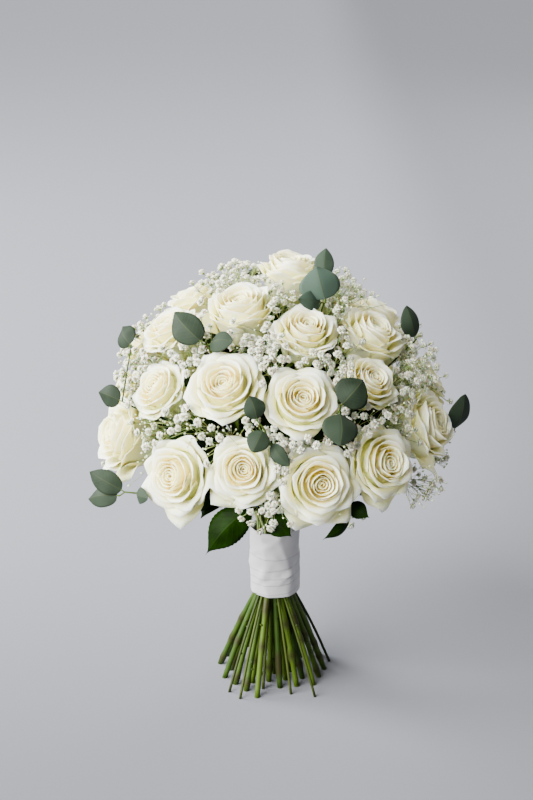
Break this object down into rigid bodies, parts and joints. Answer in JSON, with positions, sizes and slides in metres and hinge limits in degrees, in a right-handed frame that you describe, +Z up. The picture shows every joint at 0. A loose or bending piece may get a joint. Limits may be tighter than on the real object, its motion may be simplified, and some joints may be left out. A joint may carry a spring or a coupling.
{
  "type": "bridal bouquet",
  "caption": "Round hand-tied bridal bouquet: a dome of cream roses with baby's breath, silver eucalyptus and dark leaves, with bare stems under a white satin ribbon wrap.",
  "frame": {"origin": "centre of the middle rose stem's flat cut end, level with the cut ends that the bouquet stands on", "axes": "+Z up from the cut ends to the dome's crown, -Y towards the front of the dome, +X to its right seen from the front"},
  "size_m": [0.3149, 0.3008, 0.3923],
  "materials": {
    "petals": "matt",
    "stems": "satin",
    "eucalyptus": "waxy matt",
    "florets": "matt",
    "leaves": "satin",
    "ribbon": "satin",
    "tape": "matt"
  },
  "bodies": {
    "root": {"babys_breath_back_left": "florets", "babys_breath_back_right": "florets", "babys_breath_back_skirt": "florets", "babys_breath_centre": "florets", "babys_breath_front_skirt": "florets", "babys_breath_left": "florets", "babys_breath_left_crown": "florets", "babys_breath_left_front": "florets", "babys_breath_left_skirt": "florets", "babys_breath_right": "florets", "babys_breath_right_crown": "florets", "babys_breath_right_front": "florets", "babys_breath_right_skirt": "florets", "babys_breath_upper_front": "florets", "binding_tape": "tape", "eucalyptus_back_crown": "eucalyptus", "eucalyptus_back_left": "eucalyptus", "eucalyptus_centre": "eucalyptus", "eucalyptus_crown": "eucalyptus", "eucalyptus_left_shoulder": "eucalyptus", "eucalyptus_left_side": "eucalyptus", "eucalyptus_left_skirt": "eucalyptus", "eucalyptus_right_front": "eucalyptus", "eucalyptus_right_shoulder": "eucalyptus", "eucalyptus_right_side": "eucalyptus", "leaves_back": "leaves", "leaves_front": "leaves", "leaves_right": "leaves", "ribbon_wrap": "ribbon", "rose_bloom_01": "petals", "rose_bloom_02": "petals", "rose_bloom_03": "petals", "rose_bloom_04": "petals", "rose_bloom_05": "petals", "rose_bloom_06": "petals", "rose_bloom_07": "petals", "rose_bloom_08": "petals", "rose_bloom_09": "petals", "rose_bloom_10": "petals", "rose_bloom_11": "petals", "rose_bloom_12": "petals", "rose_bloom_13": "petals", "rose_bloom_14": "petals", "rose_bloom_15": "petals", "rose_bloom_16": "petals", "rose_bloom_17": "petals", "rose_bloom_18": "petals", "rose_bloom_19": "petals", "rose_bloom_20": "petals", "rose_bloom_21": "petals", "rose_bloom_22": "petals", "rose_bloom_23": "petals", "rose_bloom_24": "petals", "rose_bloom_25": "petals", "rose_bloom_26": "petals", "rose_bloom_27": "petals", "rose_bloom_28": "petals", "rose_bloom_29": "petals", "rose_bloom_30": "petals", "rose_stems": "stems"}
  },
  "joints": []
}
